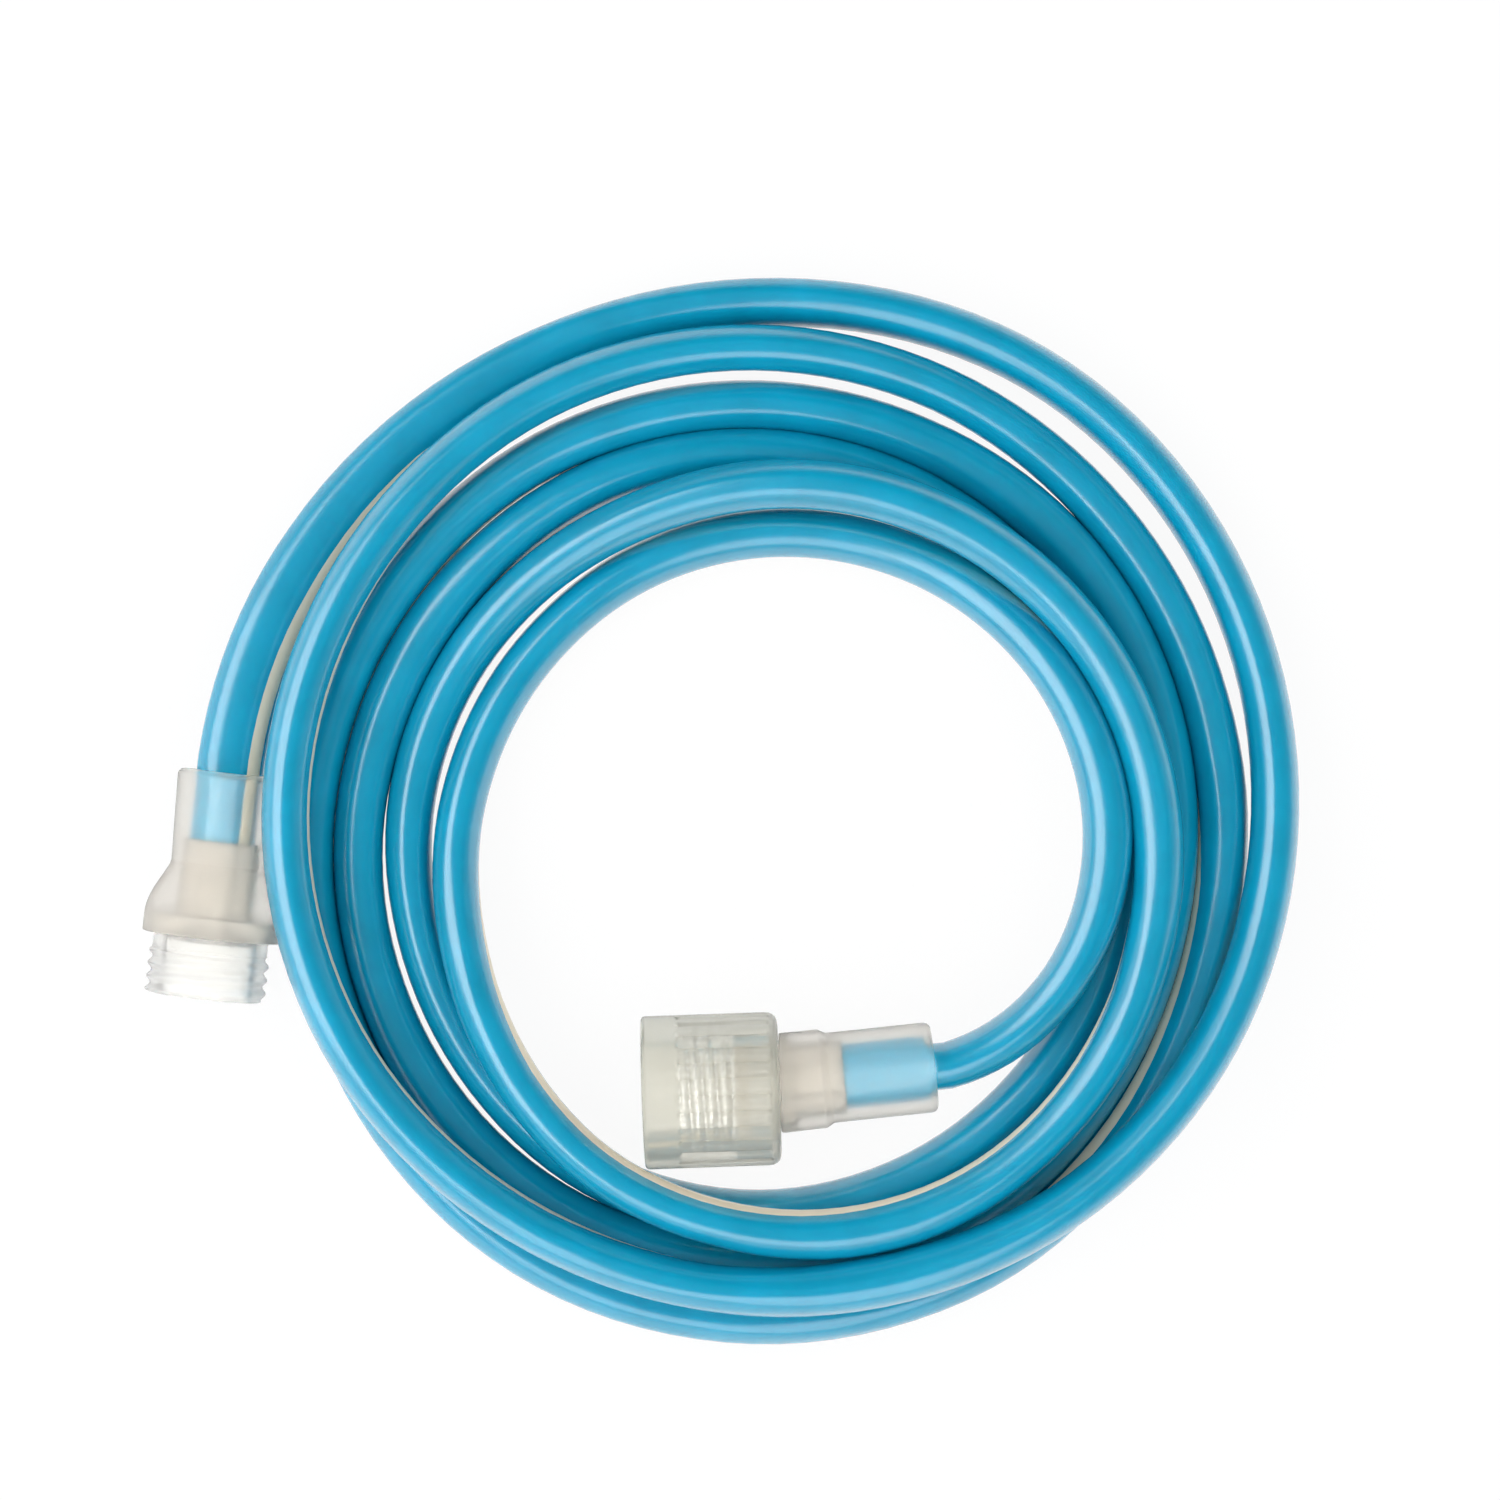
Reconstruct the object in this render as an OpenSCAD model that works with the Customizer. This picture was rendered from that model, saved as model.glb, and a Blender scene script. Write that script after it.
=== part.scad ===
// Vacuum hose for pool and spa care, wound up for storage.
// A clear blue vinyl tube with a moulded male hose thread on one end and a loose swivel nut on
// the other.  Millimetres, +Z up: the coil lies on z = 0 and the origin is below its middle.

/* [Hose] */
// Outer diameter of the tube
hose_od = 12.7; // [11:0.1:14]
// Bore of the tube
hose_id = 9.5; // [7:0.1:10.5]
// Width of the tube where winding has pressed it oval
flat_w = 10.1; // [9:0.1:11]
// Straight run of the tube in the open next to each sleeve
lead = 6; // [4:1:14]

/* [Male end] */
// Diameter over the thread crests
thread_od = 27; // [25:0.1:29]
// Length of the thread from the free end
thread_len = 9.6; // [7:0.1:11]
// Diameter of the plain neck behind the thread
neck_od = 25.2; // [23:0.1:26]
// Length from the free end to the rim of the bell
spigot_len = 13.3; // [12:0.1:18]
// Bore of the thread spigot
spigot_bore = 19; // [14:0.1:20]
// Depth of the spigot bore
spigot_deep = 12; // [8:0.1:14]
// Diameter of the bell over the root of the thread
bell_od = 30.4; // [29:0.1:34]
// Length of the straight rim of the bell
bell_rim = 3.6; // [2:0.1:6]
// Length over which the bell draws in to the sleeve
bell_draw = 12.4; // [9:0.1:16]
// Diameter of the sleeve behind the bell
grip_od = 21.2; // [19:0.1:24]
// Diameter of the sleeve at the mouth
grip_mouth_od = 22.8; // [19:0.1:25]
// Length of the whole male end
male_len = 49.6; // [46:0.1:60]
// Length of tube held inside the male end
male_hold = 15.2; // [12:0.1:18]

/* [Swivel nut] */
// Diameter of the nut
nut_od = 33.6; // [32:0.1:38]
// Length of the nut
nut_len = 30; // [28:0.1:36]
// Thickness of the wall at the back of the nut
nut_back = 2.2; // [1.8:0.1:3]
// Hole in the back of the nut
nut_hole = 21.8; // [21.2:0.1:22.6]
// Rounding of the back edge
nut_round = 3.4; // [1:0.1:3.6]
// Rounding of the mouth's edge
lip_round = 1.8; // [0.4:0.1:2]
// Length of the plain band at the mouth
band_len = 7.6; // [4:0.1:12]
// Number of grip flutes round the nut
flutes = 28; // [16:1:36]
// Depth of a flute
flute_deep = 0.6; // [0.3:0.1:1]
// Radial clearance between the male and female threads
thread_gap = 0.1; // [0.05:0.01:0.3]

/* [Washer] */
// Thickness of the seal washer
washer_t = 2.6; // [2:0.1:3.2]
// Hole of the seal washer
washer_id = 16; // [12:0.1:19]
// Gap between the washer and the flange while the nut hangs loose
washer_play = 1.3; // [0.9:0.1:2]
// Depth of the relief behind the thread, where the washer snaps in
relief = 0.4; // [0.2:0.1:0.8]
// Length of the relief in front of the washer
relief_lead = 1; // [0.6:0.1:2]

/* [Female tail] */
// Diameter of the flange that the nut pulls on
flange_od = 24.6; // [24:0.1:25]
// Thickness of the flange
flange_t = 2; // [1.5:0.1:2.4]
// Diameter of the neck inside the nut's hole
tail_neck_od = 18.8; // [17:0.1:19]
// Length of the neck between the flange and the sleeve
tail_neck_len = 4.6; // [4.4:0.1:5]
// Diameter of the sleeve next to the nut
hub_od = 21.9; // [20:0.1:24]
// Length of that thicker part
hub_len = 8.3; // [5:0.1:12]
// Diameter of the rest of the tail sleeve
tail_od = 19.8; // [17:0.1:21]
// Length of the tail sleeve
tail_len = 33.1; // [28:0.1:40]
// Length of tube held inside the tail
tail_hold = 20; // [14:0.1:22]
// Rounding of the tail sleeve's mouth
tail_round = 2.6; // [1:0.1:3]

/* [Stems] */
// Bore of both barbed stems
stem_bore = 7; // [5:0.1:8]
// Distance from a stem's tip to the sleeve's mouth
stem_short = 2.4; // [1:0.1:4]
// Length of one barb
barb_len = 3.6; // [2.5:0.1:6]
// Depth of a barb
barb_deep = 0.6; // [0.2:0.1:0.8]
// Diameter of the moulded core between the stem and the head
core_od = 15; // [14.8:0.1:17]

/* [Hidden] */

$fn = 96;
tiny = 0.01;
rest_gap = 0.3;                    // the round heads stay this far above the ground
lock_len = 3;                      // collar that locks the male head in its sleeve
lock_proud = 0.8;
edge = 0.8;                        // small edge rounding

hose_r = hose_od / 2;
bore_r = hose_id / 2;
wall = hose_r - bore_r;
semi_w = flat_w / 2;
semi_h = sqrt(2 * pow(hose_od, 2) - pow(flat_w, 2)) / 2;   // the oval keeps the girth
flat_z = semi_h * sin(60);         // height of the tube's axis where it lies on its flat

// Male end: free end of the thread and the way from it to the hose
male_tilt = 6.5;
male_end = [-114, -41, bell_od / 2 + rest_gap];
male_dir = [sin(male_tilt), cos(male_tilt), 0];
male_mouth = male_end + male_len * male_dir;

// Female end: mouth of the tail sleeve, the way from the nut to the hose, and the nut, which
// hangs loose and a little askew on the neck
tail_tilt = 6;
nut_tilt = 2;
nut_z = nut_od / 2 + rest_gap;
tail_mouth = [46.5, -56.3, nut_z];
tail_dir = [cos(tail_tilt), sin(tail_tilt), 0];
nut_sag = 1.1;                     // sideways play taken up at the back of the nut
nut_slack = 1.2;                   // play along the neck between the nut and the sleeve
nut_dir = [cos(nut_tilt), sin(nut_tilt), 0];
nut_back_at = tail_mouth - (tail_len + nut_slack) * tail_dir
              + nut_sag * [sin(tail_tilt), -cos(tail_tilt), 0];
nut_mouth = nut_back_at - nut_len * nut_dir;

root_r = thread_od / 2 + thread_gap;   // plain wall of the female thread
relief_r = root_r + relief;
washer_at = nut_len - (tail_neck_len + flange_t - nut_slack) - washer_play - washer_t;
thread_end = washer_at - relief_lead;
flute_r = 1.3;

// Route of the coil: twelve stations per loop, clockwise from 150 degrees, each the distance
// from the middle of the coil, the lift above the ground strands and the roll of the oval
middle = [12.5, -1];
station = 30;
loops = [
    [[118.5, 3.5, 78], [114, 0, 55], [113.5, 0, 15], [114.5, 0, 5], [112, 0, 0], [109.5, 5.5, 0],
     [107.5, 14, 0], [105.5, 15.5, 0], [104.5, 15.5, 0], [105, 14.5, 0], [107.5, 16, 0],
     [108, 20, 0]],
    [[107, 14, 0], [106, 10, 0], [103, 5.5, 0], [100, 0, 0], [98, 0, 0], [98.5, 0, 0],
     [101.5, 0, 0], [109.5, 0, 0], [112.5, 0, 0], [113, 0, 0], [109, 0, 0], [104, 0, 0]],
    [[99, 0, 0], [95, 0, 0], [91, 0, 0], [88, 0, 0], [87, 0, 0], [87, 0, 0],
     [90.5, 0, 0], [97, 0, 0], [100.5, 0, 0], [100.5, 0, 0], [97, 0, 0], [93, 0, 0]],
    [[88, 0, 0], [84, 0, 0], [79.5, 0, 0], [76.5, 0, 0], [76, 0, 0], [76, 0, 0],
     [79, 0, 0], [84, 0, 0], [88.5, 0, 0], [89.5, 0, 0], [85.5, 0, 0], [82, 0, 0]],
    [[77, 0.5, 0], [73, 7, 0], [73, 13.5, 0], [74.5, 15.5, 0], [78, 15.5, 0], [83, 15.5, 0],
     [87.5, 15.5, 0], [92.5, 15, 0], [91.5, 15.5, 0], [86.5, 15, 0], [77, 11, 0], [70.5, 3.5, 0]],
    [[65.5, 0, 0], [62.5, 0, 0], [61.5, 0, 0], [63.5, 3.5, 0], [67.5, 11, 0], [71.5, 15, 0],
     [72.5, 13, 0]]
];
steps = 2;                         // rings per station, so 24 rings per loop
sides = 6;

// ---- Route ----

function flat3(p) = [p[0], p[1], p[2]];
function unit(v) = v / norm(v);
function with_roll(p, roll) = [p[0], p[1], p[2], roll];

male_roll = 78;
way = concat(
    [with_roll(male_mouth + lead * male_dir, male_roll)],
    [for (loop = loops) for (k = [0 : len(loop) - 1])
        let (a = 180 - station * (k + 1), s = loop[k])
        [middle[0] + s[0] * cos(a), middle[1] + s[0] * sin(a), flat_z + s[1], s[2]]],
    [with_roll(tail_mouth + lead * tail_dir, 0)]);
last = len(way) - 1;
span = [for (i = [0 : last - 1]) norm(flat3(way[i + 1]) - flat3(way[i]))];
// Direction at each station: the mean of the spans beside it, the nearer one counting more
pull = [for (i = [0 : last])
    i == 0 ? with_roll(male_dir, 0) :
    i == last ? with_roll(-tail_dir, 0) :
    ((way[i] - way[i - 1]) * span[i] / span[i - 1]
     + (way[i + 1] - way[i]) * span[i - 1] / span[i]) / (span[i] + span[i - 1])];

function at(i, u) =
    (2 * pow(u, 3) - 3 * pow(u, 2) + 1) * way[i]
    + (pow(u, 3) - 2 * pow(u, 2) + u) * span[i] * pull[i]
    + (3 * pow(u, 2) - 2 * pow(u, 3)) * way[i + 1]
    + (pow(u, 3) - pow(u, 2)) * span[i] * pull[i + 1];
function slope(i, u) =
    (6 * pow(u, 2) - 6 * u) / span[i] * way[i]
    + (3 * pow(u, 2) - 4 * u + 1) * pull[i]
    + (6 * u - 6 * pow(u, 2)) / span[i] * way[i + 1]
    + (3 * pow(u, 2) - 2 * u) * pull[i + 1];

// Rings: [centre and roll, direction]
rings = concat(
    [[with_roll(male_mouth, male_roll), male_dir]],
    [for (i = [0 : last - 1]) for (j = [0 : steps - 1])
        [at(i, j / steps), unit(flat3(slope(i, j / steps)))]],
    [[way[last], -tail_dir], [with_roll(tail_mouth, 0), -tail_dir]]);
count = len(rings);

// Outline of a ring: semi-axes a across and b up, corners on the sides and flats above and below
function ring_points(ring, a, b) =
    let (t = ring[1], out = unit(cross([0, 0, 1], t)), up = cross(t, out), w = ring[0][3],
         v = up * cos(w) + out * sin(w), h = out * cos(w) - up * sin(w))
    [for (k = [0 : sides - 1])
        let (q = flat3(ring[0]) + a * cos(k * 360 / sides) * h + b * sin(k * 360 / sides) * v)
        [q[0], q[1], max(q[2], 0)]];

// Least gap between neighbouring loops, measured between points along their outlines
function edge_points(i, m) =
    let (p = ring_points(rings[i], semi_w, semi_h))
    [for (k = [0 : sides - 1]) for (j = [0 : m - 1])
        p[k] + (p[(k + 1) % sides] - p[k]) * j / m];
function least(list_a, list_b) = min([for (p = list_a) for (q = list_b) norm(p - q)]);

// ---- Shapes ----

// Quarter or other arc of points for a profile
function arc(c, r, from, to, n = 8) =
    [for (k = [0 : n]) let (a = from + (to - from) * k / n) c + r * [cos(a), sin(a)]];

// Profile points are [radius, station along the axis]
module turned(points) {
    rotate_extrude() polygon(points);
}

module male_frame() {
    translate(male_end) rotate([0, 0, -male_tilt]) rotate([-90, 0, 0]) children();
}

module tail_frame() {
    translate(tail_mouth) rotate([0, 0, tail_tilt]) rotate([0, -90, 0]) children();
}

module nut_frame() {
    translate(nut_mouth) rotate([0, 0, nut_tilt]) rotate([0, 90, 0]) children();
}

// Barbed stem profile from its shoulder to its tip: each barb rises toward the shoulder
function barbs(shoulder, tip) =
    let (way_out = sign(tip - shoulder), n = floor(abs(tip - shoulder) / barb_len))
    concat(
        [for (k = [0 : n - 1]) each [
            [bore_r, shoulder + way_out * k * barb_len],
            [bore_r, shoulder + way_out * (k * barb_len + barb_len / 6)],
            [bore_r - barb_deep, shoulder + way_out * (k * barb_len + barb_len / 6)],
            [bore_r - barb_deep, shoulder + way_out * (k * barb_len + barb_len / 3)]]],
        [[bore_r, shoulder + way_out * n * barb_len],
         [bore_r, tip - way_out * edge],
         [bore_r - edge / 2, tip]]);

// ---- Pieces ----

// The wound tube between the two sleeves
module hose_coil() {
    outer = [for (r = rings) each ring_points(r, semi_w, semi_h)];
    inner = [for (r = rings) each ring_points(r, semi_w - wall, semi_h - wall)];
    n = sides;
    base = len(outer);
    top = (count - 1) * n;
    skin = [for (i = [0 : count - 2]) for (k = [0 : n - 1])
        let (a = i * n + k, b = i * n + (k + 1) % n, c = a + n, d = b + n)
        each [[a, b, c], [b, d, c], [base + a, base + c, base + b], [base + b, base + c, base + d]]];
    ends = [for (k = [0 : n - 1])
        let (a = k, b = (k + 1) % n)
        each [[a, base + a, b], [b, base + a, base + b],
              [top + a, top + b, base + top + a], [top + b, base + top + b, base + top + a]]];
    color([0, 0.61, 0.76]) polyhedron(concat(outer, inner), concat(skin, ends), convexity = 12);

    loop_rings = 360 / station * steps;
    marks = [for (i = [0 : count - 1]) edge_points(i, 3)];
    echo(least_gap_to_itself = min([for (i = [0 : count - 1]) for (m = [1 : 2]) for (d = [-1 : 1])
        let (j = i + m * loop_rings + d) if (j < count) least(marks[i], marks[j])]));
    echo(free_length = hose_length());
}

function hose_length(i = 0, sum = 0) = i >= count - 1 ? sum :
    hose_length(i + 1, sum + norm(flat3(rings[i + 1][0]) - flat3(rings[i][0])));

// The last stretch of the tube, round on its stem inside the male sleeve
module hose_end_male() {
    color([0, 0.55, 0.7]) male_frame() difference() {
        translate([0, 0, male_len - male_hold]) cylinder(h = male_hold, r = hose_r);
        translate([0, 0, male_len - male_hold - 1]) cylinder(h = male_hold + 2, r = bore_r);
    }
}

// The same at the other end, inside the tail
module hose_end_female() {
    color([0, 0.55, 0.7]) tail_frame() difference() {
        cylinder(h = tail_hold, r = hose_r);
        translate([0, 0, -1]) cylinder(h = tail_hold + 2, r = bore_r);
    }
}

// Hard threaded head with its barbed stem
module male_insert() {
    r = thread_od / 2;
    neck = neck_od / 2;
    lock = neck + lock_proud;
    lock_at = spigot_len + 1.2;
    seat = male_len - male_hold;
    color([0.9, 0.9, 0.87]) male_frame() difference() {
        turned(concat(
            [[0, 0], [r - edge, 0], [r, edge], [r, thread_len], [neck, thread_len + r - neck],
             [neck, lock_at], [lock, lock_at], [lock, lock_at + lock_len],
             [core_od / 2, lock_at + lock_len], [core_od / 2, seat]],
            barbs(seat, male_len - stem_short),
            [[0, male_len - stem_short]]));
        translate([0, 0, -tiny]) cylinder(h = spigot_deep + tiny, r = spigot_bore / 2);
        translate([0, 0, spigot_deep - tiny])
            cylinder(h = spigot_len + lock_len - spigot_deep, r1 = spigot_bore / 2, r2 = stem_bore / 2);
        cylinder(h = male_len, r = stem_bore / 2);
    }
}

// Soft bell and sleeve moulded over the head and the end of the tube
module male_sleeve() {
    rim = bell_od / 2;
    grip = grip_od / 2;
    neck = neck_od / 2;
    lock_at = spigot_len + 1.2;
    draw_at = spigot_len + bell_rim;
    grip_at = draw_at + bell_draw;
    mouth = grip_mouth_od / 2;
    bell = [for (k = [0 : 16]) let (u = k / 16)
        [grip + (rim - grip) * pow(1 - u * u, 1.5), draw_at + bell_draw * u]];
    color([0.84, 0.82, 0.77]) male_frame() turned(concat(
        [[neck, spigot_len], [rim - edge / 2, spigot_len], [rim, spigot_len + edge / 2]],
        bell,
        [[mouth, male_len - 2 * edge]],
        arc([mouth - 2 * edge, male_len - 2 * edge], 2 * edge, 0, 90),
        [[hose_r, male_len], [hose_r, male_len - male_hold], [core_od / 2, male_len - male_hold],
         [core_od / 2, lock_at + lock_len], [neck + lock_proud, lock_at + lock_len],
         [neck + lock_proud, lock_at], [neck, lock_at]]));
}

// Hard tail that the nut turns on: flange, neck, core and barbed stem
module female_tailpiece() {
    neck = tail_neck_od / 2;
    back = tail_len + tail_neck_len;
    front = back + flange_t;
    inset = 2;
    color([0.9, 0.9, 0.87]) tail_frame() difference() {
        turned(concat(
            [[0, stem_short]],
            reverse(barbs(tail_hold, stem_short)),
            [[core_od / 2, tail_hold], [core_od / 2, tail_len - inset], [neck, tail_len - inset],
             [neck, back], [flange_od / 2, back], [flange_od / 2, front - edge / 2],
             [flange_od / 2 - edge / 2, front], [0, front]]));
        cylinder(h = front + 1, r = stem_bore / 2);
        translate([0, 0, tail_len])
            cylinder(h = front - tail_len + tiny, r1 = stem_bore / 2, r2 = washer_id / 2);
    }
}

function reverse(list) = [for (i = [len(list) - 1 : -1 : 0]) list[i]];

// Soft sleeve moulded over the tail and the end of the tube
module female_sleeve() {
    tail = tail_od / 2;
    hub = hub_od / 2;
    hub_at = tail_len - hub_len;
    inset = 2;
    color([0.84, 0.82, 0.77]) tail_frame() turned(concat(
        [[hose_r, 0]],
        arc([tail - tail_round, tail_round], tail_round, -90, 0),
        [[tail, hub_at - 1.7], [hub - 0.1, hub_at], [hub, tail_len - edge], [hub - edge, tail_len],
         [tail_neck_od / 2, tail_len], [tail_neck_od / 2, tail_len - inset],
         [core_od / 2, tail_len - inset], [core_od / 2, tail_hold], [hose_r, tail_hold]]));
}

// Loose nut with the female thread, a plain band at the mouth and grip flutes
module swivel_nut() {
    r = nut_od / 2;
    color([0.86, 0.85, 0.81]) nut_frame() difference() {
        turned(concat(
            [[root_r, 1], [root_r + 1, 0]],
            arc([r - lip_round, lip_round], lip_round, -90, 0, 4),
            arc([r - nut_round, nut_len - nut_round], nut_round, 0, 90),
            [[nut_hole / 2, nut_len], [nut_hole / 2, nut_len - nut_back],
             [relief_r, nut_len - nut_back], [relief_r, thread_end + relief],
             [root_r, thread_end]]));
        for (k = [0 : flutes - 1]) rotate([0, 0, k * 360 / flutes])
            translate([r + flute_r - flute_deep, 0, band_len])
                cylinder(h = nut_len - band_len - nut_round / 2, r = flute_r, $fn = 24);
    }
}

// Rubber washer snapped into the relief behind the thread
module seal_washer() {
    color([0.55, 0.55, 0.53]) nut_frame() difference() {
        translate([0, 0, washer_at]) cylinder(h = washer_t, r = relief_r);
        translate([0, 0, washer_at - 1]) cylinder(h = washer_t + 2, r = washer_id / 2);
    }
}

hose_coil();
hose_end_male();
hose_end_female();
male_insert();
male_sleeve();
female_tailpiece();
female_sleeve();
swivel_nut();
seal_washer();
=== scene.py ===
import math

import bpy
import numpy as np
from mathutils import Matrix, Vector


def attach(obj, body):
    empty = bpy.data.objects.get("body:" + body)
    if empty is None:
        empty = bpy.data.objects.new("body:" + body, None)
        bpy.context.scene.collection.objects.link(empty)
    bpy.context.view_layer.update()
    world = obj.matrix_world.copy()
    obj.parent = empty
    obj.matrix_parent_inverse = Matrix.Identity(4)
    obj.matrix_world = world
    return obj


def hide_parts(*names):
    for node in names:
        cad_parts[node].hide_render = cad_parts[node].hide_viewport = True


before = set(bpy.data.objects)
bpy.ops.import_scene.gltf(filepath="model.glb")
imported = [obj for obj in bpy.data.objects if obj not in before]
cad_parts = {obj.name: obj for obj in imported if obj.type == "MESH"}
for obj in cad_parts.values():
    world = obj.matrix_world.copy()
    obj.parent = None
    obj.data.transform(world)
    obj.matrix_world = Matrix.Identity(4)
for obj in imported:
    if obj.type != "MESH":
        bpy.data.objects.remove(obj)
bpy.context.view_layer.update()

# ---- Wound tube ----
# One length of flexible PVC, extruded 12.7 x 9.5 mm in clear blue with a cream stripe run in along
# one side. Winding presses it oval on edge, it rolls over onto its flat side at the male end, and
# inside the two sleeves it is round again on its stems.
TUBE_OD, TUBE_ID, OVAL_WIDE = 12.7, 9.5, 10.1       # sizes are in mm, angles in degrees
OVAL_HIGH = math.sqrt(2 * TUBE_OD ** 2 - OVAL_WIDE ** 2)
WALL = (TUBE_OD - TUBE_ID) / 2
LYING_AT = OVAL_HIGH / 2 * math.sin(math.radians(60))       # its underside is pressed flat
COIL_MIDDLE = np.array([12.5, -1.0])

# The male fitting runs from HEAD_END along HEAD_WAY to the mouth of its sleeve, and the female one
# starts at its sleeve's mouth. Each one holds the last millimetres of the tube.
HEAD_END, HEAD_TILT, HEAD_LONG = np.array([-114.0, -41.0, 15.5]), 6.5, 49.6
HEAD_HOLD, HEAD_ROLL = 15.2, 78.0
HEAD_WAY = np.array([math.sin(math.radians(HEAD_TILT)), math.cos(math.radians(HEAD_TILT)), 0.0])
HEAD_MOUTH = HEAD_END + HEAD_LONG * HEAD_WAY
TAIL_MOUTH, TAIL_TILT, TAIL_HOLD = np.array([46.5, -56.3, 17.1]), 6.0, 20.0
TAIL_WAY = np.array([math.cos(math.radians(TAIL_TILT)), math.sin(math.radians(TAIL_TILT)), 0.0])

# Twelve stations a loop, clockwise from 150 degrees: distance from the coil's middle, lift above
# the strands on the ground, and the roll of the oval.
STATION_STEP = 30
LOOPS = [
    [[118.5, 3.5, 78], [114, 0, 55], [113.5, 0, 15], [114.5, 0, 5], [112, 0, 0], [109.5, 5.5, 0],
     [107.5, 14, 0], [105.5, 15.5, 0], [104.5, 15.5, 0], [105, 14.5, 0], [107.5, 16, 0],
     [108, 20, 0]],
    [[107, 14, 0], [106, 10, 0], [103, 5.5, 0], [100, 0, 0], [98, 0, 0], [98.5, 0, 0],
     [101.5, 0, 0], [109.5, 0, 0], [112.5, 0, 0], [113, 0, 0], [109, 0, 0], [104, 0, 0]],
    [[99, 0, 0], [95, 0, 0], [91, 0, 0], [88, 0, 0], [87, 0, 0], [87, 0, 0],
     [90.5, 0, 0], [97, 0, 0], [100.5, 0, 0], [100.5, 0, 0], [97, 0, 0], [93, 0, 0]],
    [[88, 0, 0], [84, 0, 0], [79.5, 0, 0], [76.5, 0, 0], [76, 0, 0], [76, 0, 0],
     [79, 0, 0], [84, 0, 0], [88.5, 0, 0], [89.5, 0, 0], [85.5, 0, 0], [82, 0, 0]],
    [[77, 0.5, 0], [73, 7, 0], [73, 13.5, 0], [74.5, 15.5, 0], [78, 15.5, 0], [83, 15.5, 0],
     [87.5, 15.5, 0], [92.5, 15, 0], [91.5, 15.5, 0], [86.5, 15, 0], [77, 11, 0], [70.5, 3.5, 0]],
    [[65.2, 0, 0], [62.7, 0, 0], [62.1, 0, 0], [63.9, 3.5, 0], [67.5, 11, 0], [71.5, 15, 0],
     [72.5, 13, 0]],
]


def open_route(lead=3.0, rings_per_station=10, evening_passes=24):
    """Centre and roll of each ring of the tube in the open, from the male mouth to the tail."""
    knots = [[*(HEAD_MOUTH + lead * HEAD_WAY), HEAD_ROLL]]
    for loop in LOOPS:
        for k, (reach, lift, roll) in enumerate(loop):
            at = math.radians(180 - STATION_STEP * (k + 1))
            place = COIL_MIDDLE + reach * np.array([math.cos(at), math.sin(at)])
            knots.append([*place, LYING_AT + lift, roll])
    knots.append([*(TAIL_MOUTH + lead * TAIL_WAY), 0.0])
    knots = np.array(knots)
    # A smooth curve through the stations. Its direction at each one leans to the nearer neighbour.
    span = np.linalg.norm(np.diff(knots[:, :3], axis=0), axis=1)
    pull = np.zeros_like(knots)
    for i in range(1, len(knots) - 1):
        before = (knots[i] - knots[i - 1]) / span[i - 1]
        after = (knots[i + 1] - knots[i]) / span[i]
        pull[i] = (before * span[i] + after * span[i - 1]) / (span[i - 1] + span[i])
    pull[0, :3], pull[-1, :3] = HEAD_WAY, -TAIL_WAY
    rings = [np.array([*HEAD_MOUTH, HEAD_ROLL])]
    for i in range(len(knots) - 1):
        for j in range(rings_per_station):
            t = j / rings_per_station
            rings.append((2 * t**3 - 3 * t**2 + 1) * knots[i]
                         + (t**3 - 2 * t**2 + t) * span[i] * pull[i]
                         + (3 * t**2 - 2 * t**3) * knots[i + 1]
                         + (t**3 - t**2) * span[i] * pull[i + 1])
    rings = np.array(rings + [knots[-1], np.array([*TAIL_MOUTH, 0.0])])
    # The stations are evened out as distance and lift, so that the loops keep their size.
    offset = rings[:, :2] - COIL_MIDDLE
    angle = np.unwrap(np.arctan2(offset[:, 1], offset[:, 0]))
    shape = np.column_stack([np.hypot(*offset.T), rings[:, 2:]])
    for _ in range(evening_passes):
        shape[2:-2] += 0.5 * ((shape[1:-3] + shape[3:-1]) / 2 - shape[2:-2])
    return np.column_stack([COIL_MIDDLE[0] + shape[:, 0] * np.cos(angle),
                            COIL_MIDDLE[1] + shape[:, 0] * np.sin(angle), shape[:, 1:]])


def ring_frames(rings):
    """Outward and upward directions of each ring's section, turned by its roll."""
    along = np.gradient(rings[:, :3], axis=0)
    along /= np.linalg.norm(along, axis=1)[:, None]
    out = np.cross([0, 0, 1], along)
    out /= np.linalg.norm(out, axis=1)[:, None]
    up = np.cross(along, out)
    roll = np.radians(rings[:, 3])[:, None]
    return out * np.cos(roll) - up * np.sin(roll), up * np.cos(roll) + out * np.sin(roll)


def skin(name, rows, body, stands_for, sharp=38):
    """Joins rows of points in mm, each a closed loop, into one watertight skin facing outward."""
    rows = np.asarray(rows) / 1000
    count, sides = rows.shape[:2]
    i, k = np.meshgrid(np.arange(count), np.arange(sides), indexing="ij")
    i_next, k_next = (i + 1) % count, (k + 1) % sides
    quads = np.stack([i * sides + k, i * sides + k_next,
                      i_next * sides + k_next, i_next * sides + k], -1).reshape(-1, 4)
    points = rows.reshape(-1, 3)
    a, b, c, d = (points[quads[:, n]] for n in range(4))
    if np.sum(np.cross(c - a, d - b) * (a + b + c + d)) < 0:
        quads = quads[:, ::-1]
    mesh = bpy.data.meshes.new(name)
    mesh.from_pydata(points.tolist(), [], quads.tolist())
    mesh.shade_smooth()
    mesh.set_sharp_from_angle(angle=math.radians(sharp))
    made = bpy.data.objects.new(name, mesh)
    bpy.context.collection.objects.link(made)
    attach(made, body)
    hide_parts(*stands_for)
    return made


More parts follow.
